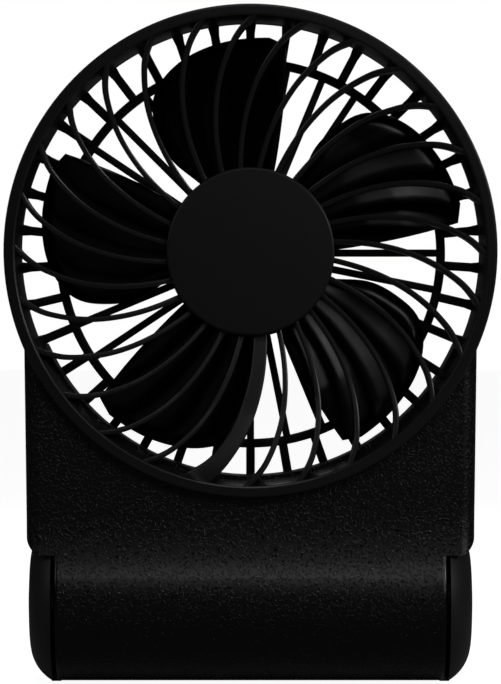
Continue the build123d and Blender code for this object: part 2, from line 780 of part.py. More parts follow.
def stator_core():
    """Laminated core: a hub and nine T-shaped poles."""
    front = -stator_middle - stator_half
    rear = -stator_middle + stator_half
    core = ring_y(tube_radius + stator_hub_wall, tube_radius + 0.02, front, rear)
    head = ring_y(stator_radius, stator_radius - pole_tip_thickness, front, rear)
    reach = pi * stator_radius / pole_count * pole_tip_share
    tip = head & block(0, stator_radius + 1, front, rear, head_height - reach, head_height + reach)
    near = tube_radius + stator_hub_wall * 0.75
    last = stator_radius - pole_tip_thickness * 0.6
    half = tooth_width / 2
    tooth = block(near, last, front, rear, head_height - half, head_height + half) + tip
    for i in range(pole_count):
        core += turned(tooth, i * 360 / pole_count)
    return core


def stator_coils():
    """One winding on each pole."""
    start = tube_radius + stator_hub_wall + board_hole_room
    last = stator_radius - pole_tip_thickness - board_hole_room
    front = -stator_middle - stator_half
    rear = -stator_middle + stator_half
    half = coil_width / 2
    inner = tooth_width / 2 + coil_fit
    low = head_height - half
    high = head_height + half
    coil = block(start, last, front - coil_overhang, rear + coil_overhang, low, high)
    coil = fillet(coil.edges().filter_by(Axis.X), coil_round)
    low = head_height - inner
    high = head_height + inner
    coil -= block(start - 1, last + 1, front - coil_fit, rear + coil_fit, low, high)
    return Compound([turned(coil, i * 360 / pole_count).solid() for i in range(pole_count)])


def rotor_cup():
    """Steel cup that carries the magnet and is pressed on the shaft."""
    rear = impeller_rear - impeller_web - 0.05
    cup = disc_y(rotor_outer, -rotor_front, rear)
    cup -= disc_y(rotor_inner, -rotor_front - 1, rear - rotor_floor)
    cup += disc_y(shaft_radius * 3, rear - rotor_floor * 1.4, rear)
    return cup - disc_y(shaft_radius, -far / 4, far / 4)


def rotor_magnet():
    """Ring magnet inside the rotor cup."""
    return ring_y(magnet_outer, magnet_inner, -magnet_front, magnet_rear)


# ------------------------------------------------------ battery, board, controls
def battery_cell():
    """Round cell with its rolled shoulders and raised positive end."""
    half = cell_length / 2
    cell = rod_x(cell_radius, -half, half - cell_button_height)
    cell = fillet(cell.edges().filter_by(GeomType.CIRCLE), cell_round)
    return cell + rod_x(cell_button_radius, half - cell_button_height - 0.2, half)


def battery_tabs():
    """Nickel tabs spot-welded to both ends."""
    half = cell_length / 2
    tabs = []
    for side in (-1, 1):
        inner = side * half
        outer = side * (half + tab_thickness)
        low = min(inner, outer)
        high = max(inner, outer)
        side_y = tab_width / 2
        tab = block(low, high, -side_y, side_y, hinge_height - tab_width, hinge_height + cell_radius)
        tabs.append(tab.solid())
    return Compound(tabs)


def main_board():
    """Main board behind the panel, hollowed where the head passes."""
    board = block(-board_half, board_half, -board_thickness, 0, board_bottom, board_top)
    board -= disc_y(board_hole_radius, -far / 4, far / 4)
    for side in (-1, 1):
        x = side * board_screw_x
        board -= disc_y(board_screw_radius + board_hole_room, -far / 4, far / 4, x, board_screw_height)
    return board


def board_screws():
    """Two screws that hold the main board on the rear shell."""
    screws = []
    for side in (-1, 1):
        x = side * board_screw_x
        head = -board_thickness - screw_head_height
        screw = disc_y(board_screw_radius * screw_head_share, head, -board_thickness, x, board_screw_height)
        neck = head + screw_head_height / 2
        screw += disc_y(board_screw_radius, neck, board_screw_reach, x, board_screw_height)
        screw -= slot_cross(x, head, board_screw_height, board_screw_radius)
        screws.append(screw.solid())
    return Compound(screws)


def board_chips():
    """Charger chip, controller, coil and the two lead sockets on the board."""
    return Compound([block(*box).solid() for box in board_boxes + [battery_socket, lead_socket]])


def status_leds():
    """Three surface-mounted lamps."""
    lamps = []
    for i in (-1, 0, 1):
        x = i * led_spacing
        lamps.append(block(x - led_width / 2, x + led_width / 2, -board_thickness - led_thickness,
                           -board_thickness, led_height - led_tall / 2, led_height + led_tall / 2).solid())
    return Compound(lamps)


def light_pipe():
    """Clear moulding that takes the three lights to the pinholes."""
    start = -board_thickness - led_thickness - 0.2
    seat = -panel_ahead + wall + 0.1
    bar = light_pipe_radius * 1.4
    half = led_spacing + bar
    rear = -light_bar_ahead + light_bar_thickness
    pipe = block(-half, half, -light_bar_ahead, rear, led_height - bar, led_height + bar)
    for i in (-1, 0, 1):
        x = i * led_spacing
        pipe += disc_y(light_pipe_radius, seat, start, x, led_height)
        pipe += disc_y(pinhole_radius - 0.05, -panel_ahead + 0.1, seat + 0.5, x, led_height)
    return pipe


def usb_c_socket():
    """Charging socket: a metal sleeve with its contact tongue."""
    outside = SlotOverall(usb_width, usb_tall)
    inside = SlotOverall(usb_width - 2 * usb_shell, usb_tall - 2 * usb_shell)
    shell = extrude(Plane.XZ * (outside - inside), amount=-usb_depth)
    shell += extrude(Plane.XZ * outside, amount=-usb_back)
    half = usb_tongue_width / 2
    tongue = block(-half, half, usb_back / 2, usb_depth - 1.2, -usb_tongue_tall / 2, usb_tongue_tall / 2)
    return Pos(usb_x, 0, usb_height) * (shell + tongue)


def tact_switch():
    """Switch body under the button."""
    half = switch_size / 2
    body = block(button_x - half, button_x + half, 0, switch_tall, button_height - half, button_height + half)
    return body - disc_y(plunger_radius + plunger_clearance, switch_well, far / 4, button_x, button_height)


def switch_plunger():
    """Plunger that moves with the button."""
    front = switch_well + button_travel + plunger_gap
    return disc_y(plunger_radius, front, button_flange_front(), button_x, button_height)


def button_flange_front():
    """Front face of the button flange at rest."""
    return panel_behind - wall - button_flange_gap - button_flange


def power_button():
    """Round push button with an inner flange that keeps it in the shell."""
    front = button_flange_front()
    rear = panel_behind + button_proud
    cap = disc_y(button_radius, front + button_flange / 2, rear, button_x, button_height)
    cap = fillet(cap.edges().filter_by(GeomType.CIRCLE).sort_by(Axis.Y)[-1], button_round)
    flange_radius = button_radius + button_flange_lip
    return cap + disc_y(flange_radius, front, front + button_flange, button_x, button_height)


def shell_screws():
    """Four screws that join the shells, with their heads in wells at the back."""
    screws = []
    for x, z in screw_places():
        head = shell_screw_seat + shell_screw_head_height
        end = shell_screw_seat - shell_screw_length
        screw = disc_y(shell_screw_head, shell_screw_seat, head, x, z)
        screw += disc_y(shell_screw_radius, end, shell_screw_seat + 0.5, x, z)
        recess = mirror(slot_cross(x, head, z, shell_screw_radius), about=Plane.XZ)
        screws.append((screw - Pos(0, 2 * head, 0) * recess).solid())
    return Compound(screws)


# ------------------------------------------------------------------------ stand
def dome_drop(radius):
    """How far the middle of the dome falls away at a radius."""
    knee = disc_radius * dome_knee
    sphere = (knee ** 2 + dome_rise ** 2) / (2 * dome_rise)
    return sphere - sqrt(sphere ** 2 - radius ** 2)


def disc_profile():
    """Half outline of an end disc: flat inner face and a full, soft dome outside."""
    edge = (disc_inner, disc_radius)
    shoulder = (disc_outer - disc_thickness * 0.39, disc_radius * 0.832)
    knee_radius = disc_radius * dome_knee
    knee = (disc_outer - dome_drop(knee_radius), knee_radius)
    middle = (disc_outer - dome_drop(knee_radius / 2), knee_radius / 2)
    edges = ThreePointArc(edge, shoulder, knee) + ThreePointArc(knee, middle, (disc_outer, 0))
    edges += Line((disc_outer, 0), (disc_inner, 0)) + Line((disc_inner, 0), edge)
    return make_face(edges)


def end_disc():
    """Solid domed disc on the hinge axis, right side."""
    return Pos(0, 0, hinge_height) * revolve(disc_profile(), Axis.X, 360)


def stand_plan(inset):
    """Plan of the stand plate, drawn in by inset."""
    half = stand_half - inset
    front = stand_front + inset
    rear = stand_rear - inset
    plate = Pos(0, (front + rear) / 2) * Rectangle(2 * half, rear - front)
    plate = fillet(plate.vertices().group_by(Axis.Y)[-1], stand_corner - inset)
    front_corner = stand_front_corner - min(inset, stand_front_corner / 2)
    return fillet(plate.vertices().group_by(Axis.Y)[0], front_corner)


def stand_clear():
    """Space swept by the barrel, and by the fan body between the discs."""
    return rod_x(barrel_radius + hinge_gap, -disc_inner, disc_inner)


def stand_screw_places():
    """Stand screws: x and y."""
    return [(side * stand_screw_x, y) for side in (-1, 1) for y in (stand_screw_front, stand_screw_rear)]


def stand_frame():
    """Stand top: plate, side discs and the walls round its hollow underside."""
    plate = Pos(0, 0, stand_bottom) * extrude(stand_plan(0), amount=stand_height)
    plate = fillet(plate.edges().group_by(Axis.Z)[-1], stand_top_round)
    plate = fillet(plate.edges().group_by(Axis.Z)[0], stand_low_round)
    frame = plate
    for disc in (end_disc(), mirrored(end_disc())):
        frame += disc
    frame -= stand_clear()
    frame += blend_bars()
    hollow = Pos(0, 0, stand_bottom - 1) * extrude(
        stand_plan(stand_rim), amount=stand_height - stand_top_wall + 1)
    frame -= hollow & block(-far, far, ballast_front - 4, far, -far, far)
    bosses = Part()
    screw_end = stand_bottom + stand_screw_seat + stand_screw_length
    boss_low = stand_bottom + cover_thickness + cover_gap
    for x, y in stand_screw_places():
        bosses += bar_z(stand_boss_radius, boss_low, stand_top - cover_gap, x, y)
    frame += bosses
    for x, y in stand_screw_places():
        frame -= bar_z(stand_screw_radius + running_gap, 0, screw_end + cover_gap, x, y)
    for pad in pad_blocks(pad_clearance):
        frame -= pad
    for side in (-1, 1):
        frame -= hinge_pocket(side)
    return frame


def blend_bars():
    """Small fillets where the end discs rise from the plate behind the hinge."""
    centre_z = stand_top + stand_blend
    reach = sqrt((disc_radius + stand_blend) ** 2 - (hinge_height - centre_z) ** 2)
    share = disc_radius / (disc_radius + stand_blend)
    touch = (reach * share, hinge_height - (hinge_height - centre_z) * share)
    low = stand_top - 0.5
    corners = [(reach, low), (reach, stand_top), touch, (touch[0] - 2, touch[1]), (touch[0] - 2, low)]
    face = make_face(Polyline(*corners, close=True))
    bar = extrude(Plane.YZ * face, amount=disc_thickness - 2.2)
    bar = Pos(disc_inner, 0, 0) * bar
    bar -= rod_x(stand_blend, disc_inner - 1, disc_outer + 1, reach, centre_z)
    return bar + mirrored(bar)


def pad_blocks(grow):
    """Two long side pads and a rear pad; grow makes them larger for their pockets."""
    top = stand_bottom + pad_sink
    pads = []
    for side in (-1, 1):
        low = min(side * pad_inner, side * (pad_inner + pad_width)) - grow
        high = max(side * pad_inner, side * (pad_inner + pad_width)) + grow
        pads.append(block(low, high, pad_front - grow, pad_front + pad_length + grow, 0, top))
    rear = stand_rear - rear_pad_edge
    half = rear_pad_half + grow
    pads.append(block(-half, half, rear - pad_width - grow, rear + grow, 0, top))
    return pads


def hinge_pocket(side):
    """Bore for the pin and the pocket that its head and cap lie in."""
    bore = rod_x(pin_radius + 0.02, disc_inner - 1, disc_outer + 1)
    bore += rod_x(pocket_radius, disc_inner + pocket_floor, disc_outer + 1)
    return bore if side > 0 else mirrored(bore)


def hinge_cap():
    """Round cover over the hinge pin, carrying on the dome of the disc."""
    back = disc_inner + pocket_floor + pin_head_thickness + 0.1
    radius = pocket_radius - hinge_cap_clearance
    rim = (disc_outer - dome_drop(radius), radius)
    middle = (disc_outer - dome_drop(radius / 2), radius / 2)
    edges = ThreePointArc(rim, middle, (disc_outer, 0)) + Line((disc_outer, 0), (back, 0))
    edges += Line((back, 0), (back, radius)) + Line((back, radius), rim)
    return Pos(0, 0, hinge_height) * revolve(make_face(edges), Axis.X, 360)


def stand_cover():
    """Bottom plate of the stand, set into its rim."""
    inset = stand_rim + cover_clearance
    plan = stand_plan(inset)
    cover = Pos(0, 0, stand_bottom) * extrude(plan, amount=cover_thickness)
    cover &= block(-far, far, ballast_front - 4 + cover_clearance, far, -far, far)
    for x, y in stand_screw_places():
        cover -= bar_z(stand_screw_radius + screw_room, 0, stand_top, x, y)
        screw_head = stand_screw_radius * screw_head_share
        cover -= bar_z(screw_head + screw_room, 0, stand_bottom + stand_screw_seat, x, y)
    return cover


def stand_screws():
    """Four screws through the cover into the stand."""
    screws = []
    seat = stand_bottom + stand_screw_seat
    head = seat - stand_screw_head_height
    for x, y in stand_screw_places():
        screw = bar_z(stand_screw_radius * screw_head_share, head, seat, x, y)
        neck = seat - stand_screw_head_height / 2
        screw += bar_z(stand_screw_radius, neck, seat + stand_screw_length, x, y)
        turn = Pos(x, y, head) * Rot(90, 0, 0)
        screws.append((screw - turn * slot_cross(0, 0, 0, stand_screw_radius)).solid())
    return Compound(screws)


def ballast_plate():
    """Steel plate that keeps the stand down."""
    low = stand_bottom + cover_thickness + 0.05
    plate = block(-ballast_half, ballast_half, ballast_front, ballast_rear, low, low + ballast_thickness)
    return fillet(plate.edges().filter_by(Axis.Z), ballast_corner)


def foot_pads():
    """Three rubber strips set into the underside of the stand."""
    return Compound([pad.solid() for pad in pad_blocks(0)])


# ------------------------------------------------------------------------ hinge
def both_sides(shape):
    """One node with the same piece at both ends of the hinge."""
    return Compound([shape.solid(), mirrored(shape).solid()])


def hinge_pins():
    """Flanged steel pins; each is fixed in its disc and turns in the barrel end."""
    seat = disc_inner + pocket_floor
    inner = barrel_half - barrel_end_wall - spring_thickness - nut_thickness - 0.6
    pin = rod_x(pin_radius, inner, seat + pin_head_thickness / 2)
    pin += rod_x(pin_head_radius, seat, seat + pin_head_thickness)
    return both_sides(pin)


def friction_washers():
    """Thin washers between the barrel ends and the discs."""
    gap = disc_inner - barrel_half
    start = barrel_half + (gap - washer_thickness) / 2
    return both_sides(ring_x(washer_radius, pin_radius + 0.1, start, start + washer_thickness))


def spring_start():
    """Inner face of the barrel end, where the spring washer bears."""
    return barrel_half - barrel_end_wall - 0.1


def spring_washers():
    """Conical spring washers that give the hinge its friction."""
    high = spring_start()
    low = high - spring_thickness
    thin = spring_thickness * 0.45
    corners = [(low, pin_radius + 0.1), (low + thin, pin_radius + 0.1), (high, washer_radius - 1.5),
               (high - thin, washer_radius - 1.5)]
    washer = revolve(make_face(Polyline(*corners, close=True)), Axis.X, 360)
    return both_sides(Pos(0, 0, hinge_height) * washer)


def hinge_nuts():
    """Nuts that close the hinge from inside the barrel."""
    high = spring_start() - spring_thickness - 0.05
    prism = extrude(Plane.YZ * RegularPolygon(nut_size / 2, 6, major_radius=False), amount=nut_thickness)
    nut = Pos(high - nut_thickness, 0, hinge_height) * prism
    return both_sides(nut - rod_x(pin_radius + 0.01, high - nut_thickness - 1, high + 1))


# ------------------------------------------------------------------------ leads
def lead_tube(points, radius):
    """Round lead along straight runs joined by arcs as large as the runs allow."""
    bends = []
    for a, b, c in zip(points, points[1:], points[2:]):
        before = Vector(*b) - Vector(*a)
        after = Vector(*c) - Vector(*b)
        half_turn = radians(before.get_angle(after)) / 2
        bends.append(0.45 * min(before.length, after.length) / tan(half_turn))
    print("lead bends", [round(bend, 1) for bend in bends])
    path = FilletPolyline(*points, radius=bends)
    start = Plane(origin=path @ 0, z_dir=path % 0)
    return sweep(start * Circle(radius), path=path)


def vane_point(share):
    """A point of the lead in the duct vane, at a share of the vane's length."""
    middle = Spline(*[polar(radius, angle) for radius, angle in vane_line]) @ share
    turn = radians(-(vane_first_angle + duct_vane * vane_pitch))
    x = middle.X * cos(turn) - middle.Y * sin(turn)
    z = middle.X * sin(turn) + middle.Y * cos(turn)
    return (x, -channel_front(hypot(x, z)) + lead_radius + 0.15, head_height + z)


def lead_path():
    """Motor lead: motor board, duct vane, through the shell wall, main board."""
    board_front = -motor_board_rear - motor_board_thickness
    first = vane_point(0.0)
    inward = lead_start / guard_hub_radius
    level = head_height + (first[2] - head_height) * inward
    points = [(first[0] * inward, board_front - lead_radius - 0.05, level)]
    points += [vane_point(share) for share in (0.04, 0.24, 0.42, 0.6, 0.78, 0.93)]
    onward = (Vector(*points[-1]) - Vector(*points[-2])).normalized() * 4.5
    points.append(tuple(Vector(*points[-1]) + onward.rotate(Axis.Y, lead_hook)))
    socket_x = (lead_socket[0] + lead_socket[1]) / 2
    points += [
        (socket_x + 1.9, -9.2, 40.8),
        (socket_x + 0.5, -6.0, 38.4),
        (socket_x, -3.2, lead_socket[5] + 0.35)]
    return points


def motor_lead():
    """Lead from the motor board to its socket on the main board."""
    return lead_tube(lead_path(), lead_radius)


def battery_leads():
    """Two wires from the ends of the cell to their socket on the board."""
    half = cell_length / 2 + tab_thickness / 2
    top = hinge_height + cell_radius + wire_radius
    side = (battery_socket[2] + battery_socket[3]) / 2
    level = (battery_socket[4] + battery_socket[5]) / 2
    left = [(-half, 1.0, top), (-half + 7, 4.4, top + 0.4), (-half + 19, 6.4, top - 0.3),
            (battery_socket[0] - 12, 6.0, top + 0.2), (battery_socket[0] - 5, 3.6, level - 1.0),
            (battery_socket[0] - 0.5, side, level)]
    right = [(half, 1.0, top), (half - 4.5, 2.4, top + 1.6), (battery_socket[1] + 0.5, side, level)]
    return Compound([lead_tube(left, wire_radius).solid(), lead_tube(right, wire_radius).solid()])


# ----------------------------------------------------------------------- output
def write(name, shape):
    """Move a piece back so that the origin is under the middle, and write it."""
    solids = [Pos(0, move_back, 0) * solid for solid in shape.solids()]
    export_step(solids[0] if len(solids) == 1 else Compound(solids), f"parts/{name}.step")


walls = body_walls()
write("front_shell", front_shell(walls))
write("rear_shell", rear_shell(walls))
write("front_guard", front_guard())
write("hub_cap", hub_cap())
write("rear_grille", rear_grille())
write("impeller", impeller())
write("motor_shaft", motor_shaft())
write("shaft_clip", shaft_clip())
write("bearing_tube", bearing_tube())
write("motor_bearings", motor_bearings())
write("motor_screws", motor_screws())
write("motor_board", motor_board())
write("stator_core", stator_core())
write("stator_coils", stator_coils())
write("rotor_cup", rotor_cup())
write("rotor_magnet", rotor_magnet())
write("battery_cell", battery_cell())
write("battery_tabs", battery_tabs())
write("main_board", main_board())
write("board_screws", board_screws())
write("board_chips", board_chips())
write("status_leds", status_leds())
write("light_pipe", light_pipe())
write("usb_c_socket", usb_c_socket())
write("tact_switch", tact_switch())
write("switch_plunger", switch_plunger())
write("power_button", power_button())
write("shell_screws", shell_screws())
write("stand_frame", stand_frame())
write("stand_cover", stand_cover())
write("stand_screws", stand_screws())
write("ballast_plate", ballast_plate())
write("foot_pads", foot_pads())
write("hinge_pins", hinge_pins())
write("friction_washers", friction_washers())
write("spring_washers", spring_washers())
write("hinge_nuts", hinge_nuts())
write("left_hinge_cap", mirrored(hinge_cap()))
write("right_hinge_cap", hinge_cap())
write("motor_lead", motor_lead())
write("battery_leads", battery_leads())
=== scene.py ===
import json
import math

import bmesh
import bpy
import numpy as np
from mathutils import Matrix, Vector


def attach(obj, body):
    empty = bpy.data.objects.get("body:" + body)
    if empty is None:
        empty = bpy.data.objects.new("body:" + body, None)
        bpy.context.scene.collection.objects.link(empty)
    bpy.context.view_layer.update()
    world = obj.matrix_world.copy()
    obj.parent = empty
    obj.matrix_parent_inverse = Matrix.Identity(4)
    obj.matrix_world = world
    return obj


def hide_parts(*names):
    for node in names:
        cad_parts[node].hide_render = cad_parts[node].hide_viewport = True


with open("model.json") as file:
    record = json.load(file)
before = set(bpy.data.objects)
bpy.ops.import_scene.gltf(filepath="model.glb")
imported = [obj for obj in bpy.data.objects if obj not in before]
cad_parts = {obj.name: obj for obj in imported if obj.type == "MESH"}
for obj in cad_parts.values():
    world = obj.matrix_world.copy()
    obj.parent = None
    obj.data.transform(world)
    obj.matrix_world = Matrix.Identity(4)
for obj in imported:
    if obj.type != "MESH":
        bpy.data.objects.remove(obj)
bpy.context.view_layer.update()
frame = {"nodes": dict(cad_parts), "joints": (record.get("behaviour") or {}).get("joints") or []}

# Folding desk fan. Lengths below are in millimetres about the hinge: x along the hinge, y back from it,
# z up from the desk. place() turns them into metres in the frame of the model.
joints = {joint["name"]: joint for joint in frame["joints"]}
hingeY = joints["tilt"]["pos_m"][1] * 1000
headZ = joints["fan_spin"]["pos_m"][2] * 1000
scene = bpy.context.scene


# Millimetres about the hinge to metres in the model's frame.
def place(points):
    return (np.asarray(points, float) + [0, hingeY, 0]) / 1000


# Points at a radius and an angle in degrees about the head axis, clockwise seen from the front:
# x = radius * cos(angle), z = head height - radius * sin(angle).
def aboutHead(radius, angle, y):
    turn = np.radians(angle)
    return np.stack(np.broadcast_arrays(radius * np.cos(turn), y, headZ - radius * np.sin(turn)), -1)


# Four-sided faces over a grid of rows x columns points, wrapped where a direction is closed.
def gridFaces(rows, columns, closedRows, closedColumns):
    i = np.arange(rows if closedRows else rows - 1)
    j = np.arange(columns if closedColumns else columns - 1)
    i, j = np.meshgrid(i, j, indexing="ij")
    down, right = (i + 1) % rows, (j + 1) % columns
    corners = [i * columns + j, down * columns + j, down * columns + right, i * columns + right]
    return np.stack(corners, -1).reshape(-1, 4)


# Faces of a bar whose rows of points are closed loops: the grid round it and one face at each end.
def barFaces(rows, columns):
    loop = np.arange(columns)
    return [*gridFaces(rows, columns, False, True), loop, (rows - 1) * columns + loop[::-1]]


# A mesh from millimetre points, with smooth shading up to an angle, riding on a body.
def makePiece(name, points, faces, material, body, smoothAngle):
    mesh = bpy.data.meshes.new(name)
    mesh.from_pydata(place(points).tolist(), [], [list(map(int, face)) for face in faces])
    cleaned = bmesh.new()
    cleaned.from_mesh(mesh)
    bmesh.ops.remove_doubles(cleaned, verts=cleaned.verts, dist=1e-6)    # metres: joins what meets on an axis
    bmesh.ops.dissolve_degenerate(cleaned, edges=cleaned.edges, dist=1e-7)
    bmesh.ops.recalc_face_normals(cleaned, faces=cleaned.faces)
    cleaned.to_mesh(mesh)
    cleaned.free()
    mesh.shade_smooth()
    mesh.set_sharp_from_angle(angle=math.radians(smoothAngle))
    piece = bpy.data.objects.new(name, mesh)
    scene.collection.objects.link(piece)
    mesh.materials.append(material)
    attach(piece, body)
    return piece


# Closed outline from corners of (x, y, rounding). A rounded corner is an arc between its two tangent
# points: middle + (sin((1 - t) * sweep) * start + sin(t * sweep) * end) / sin(sweep), t from 0 to 1.
def roundedLoop(corners, steps):
    corners = np.asarray(corners, float)
    spots, radii = corners[:, :2], corners[:, 2]
    straight = 1.56                     # half angle in radians past which a corner is as good as straight
    outline = []
    for k, (spot, radius) in enumerate(zip(spots, radii)):
        before, after = spots[k - 1] - spot, spots[(k + 1) % len(spots)] - spot
        before, after = before / np.linalg.norm(before), after / np.linalg.norm(after)
        half = math.acos(np.clip(before @ after, -1, 1)) / 2
        if radius <= 0 or half > straight:
            outline.append(spot[None])
            continue
        middle = spot + (before + after) / np.linalg.norm(before + after) * radius / math.sin(half)
        start = spot + before * radius / math.tan(half) - middle
        end = spot + after * radius / math.tan(half) - middle
        sweep = math.acos(np.clip(start @ end / radius ** 2, -1, 1))
        share = np.linspace(0, 1, steps)[:, None]
        arc = (np.sin((1 - share) * sweep) * start + np.sin(share * sweep) * end) / math.sin(sweep)
        outline.append(middle + arc)
    return np.concatenate(outline)


# Outline of (radius, y) carried round the head axis: point = (r cos a, y, r sin a).
def revolved(outline, turns):
    angle = np.arange(turns) * 360 / turns
    points = aboutHead(outline[None, :, 0], angle[:, None], outline[None, :, 1])
    return points.reshape(-1, 3), gridFaces(turns, len(outline), True, True)


# Several (points, faces) sets as one.
def joined(parts):
    points, faces, start = [], [], 0
    for somePoints, someFaces in parts:
        points.append(somePoints)
        faces.extend([face + start for face in someFaces])
        start += len(somePoints)
    return np.concatenate(points), faces


# Cubic through the knots with finite-difference slopes, sampled evenly in knot number.
def smoothCurve(knots, count):
    knots = np.asarray(knots, float)
    slope = np.gradient(knots, axis=0)
    t = np.linspace(0, len(knots) - 1, count)
    k = np.minimum(t.astype(int), len(knots) - 2)
    u = (t - k)[:, None]
    return ((2 * u ** 3 - 3 * u ** 2 + 1) * knots[k] + (u ** 3 - 2 * u ** 2 + u) * slope[k]
            + (3 * u ** 2 - 2 * u ** 3) * knots[k + 1] + (u ** 3 - u ** 2) * slope[k + 1])


# sRGB hex to linear red, green, blue and a full alpha.
def linear(hexColour):
    value = np.array([int(hexColour[i:i + 2], 16) for i in (1, 3, 5)]) / 255
    return [*np.where(value <= 0.04045, value / 12.92, ((value + 0.055) / 1.055) ** 2.4), 1.0]


# Adds a node, sets its values by socket or property name, and links its inputs.
def addNode(tree, kind, links=None, **settings):
    node = tree.nodes.new(kind)
    for key, value in settings.items():
        if key in node.bl_rna.properties:
            setattr(node, key, value)
        else:
            node.inputs[key.replace("_", " ")].default_value = value
    for key, source in (links or {}).items():
        tree.links.new(source, node.inputs[key])
    return node


def newMaterial(name):
    material = bpy.data.materials.new(name)
    material.use_nodes = True
    tree = material.node_tree
    where = addNode(tree, "ShaderNodeTexCoord").outputs["Object"]
    return material, tree, tree.nodes["Principled BSDF"], where


plastic = {
    "ior": 1.53,
    "flowMm": 22,           # size of the clouds that the melt leaves in the colour
    "glossChange": 0.05,    # how far the roughness strays either way
    # finish: colour, roughness, specular level, size and depth of the mould's texture in mm, cloudiness
    "finishes": {
        "smoothBlackAbs": ("#161616", 0.48, 0.18, 0.5, 0.002, 0.08),
        "guardBlackAbs": ("#101010", 0.25, 0.13, 0.5, 0.002, 0.06),
        "hubBlackAbs": ("#0c0c0c", 0.42, 0.12, 0.6, 0.003, 0.08),
        "grilleBlackAbs": ("#070707", 0.50, 0.10, 0.5, 0.002, 0.06),
        "polishedBlackAbs": ("#010101", 0.21, 0.11, 3.0, 0.004, 0.05),
        "polishedButtonAbs": ("#0c0c0c", 0.25, 0.3, 1.0, 0.002, 0.05),
        "naturalNylon": ("#c9c7bd", 0.5, 0.4, 0.6, 0.003, 0.05),
        "blackNylon": ("#151515", 0.5, 0.3, 0.6, 0.003, 0.05),
        "siliconeRubber": ("#131313", 0.72, 0.25, 0.8, 0.01, 0.1),
        "solderMask": ("#15462a", 0.35, 0.5, 1.2, 0.002, 0.15),
        "chipEpoxy": ("#1a1a1a", 0.6, 0.3, 0.3, 0.004, 0.1),
        "cellSleeve": ("#1d4f8c", 0.3, 0.5, 4.0, 0.003, 0.03),
        "smokedLens": ("#141414", 0.3, 0.4, 2.0, 0.001, 0.02),
        "leadInsulation": ("#141414", 0.45, 0.4, 1.0, 0.002, 0.05),
        "sinteredFerrite": ("#2a2a2c", 0.6, 0.4, 0.4, 0.004, 0.12),
    },
}


# Injection-moulded plastic, and what else has a skin like it: an even colour with slight flow clouds, and
# a very fine texture from the mould in both gloss and height.
def mouldedPlastic(name):
    colour, roughness, specular, grainMm, grainDepthMm, clouds = plastic["finishes"][name]
    material, tree, shader, where = newMaterial(name)
    fine = addNode(tree, "ShaderNodeTexNoise", {"Vector": where}, Scale=1000 / grainMm, Detail=3.0,
                   Roughness=0.6)
    broad = addNode(tree, "ShaderNodeTexNoise", {"Vector": where}, Scale=1000 / plastic["flowMm"], Detail=2.0)
    tint = addNode(tree, "ShaderNodeMix", {"Factor": broad.outputs["Fac"]}, data_type="RGBA")
    base = np.array(linear(colour))
    tint.inputs["A"].default_value = [*(base[:3] * (1 - clouds)), 1]
    tint.inputs["B"].default_value = [*(base[:3] * (1 + clouds)), 1]
    gloss = addNode(tree, "ShaderNodeMapRange", {"Value": fine.outputs["Fac"]},
                    To_Min=roughness - plastic["glossChange"], To_Max=roughness + plastic["glossChange"])
    bump = addNode(tree, "ShaderNodeBump", {"Height": fine.outputs["Fac"]}, Strength=1.0,
                   Distance=grainDepthMm / 1000)
    tree.links.new(tint.outputs["Result"], shader.inputs["Base Color"])
    tree.links.new(gloss.outputs["Result"], shader.inputs["Roughness"])
    tree.links.new(bump.outputs["Normal"], shader.inputs["Normal"])
    shader.inputs["Specular IOR Level"].default_value = specular
    shader.inputs["IOR"].default_value = plastic["ior"]
    return material


grainedAbs = {
    "colour": "#040404",
    "specular": 0.16,
    "valleyRoughness": 0.32,
    "plateauRoughness": 0.18,
    "polishedRoughness": 0.18,    # at the barrel's two ends, where the mould is left polished
    "polishedFromMm": 42.8,       # from the middle of the barrel
    "polishedOverMm": 0.4,        # width of the change from grained to polished
    "barrelTopMm": 29.2,
    "grainMm": 0.62,              # size of the flat islands left by the spark
    "grainDepthMm": 0.06,
    "islandEdge": (0.50, 0.66),   # noise level at the foot and at the top of an island's edge
    "fineMm": 0.35,
    "fineShare": 0.25,            # depth of the finest texture, as a share of the grain's
}


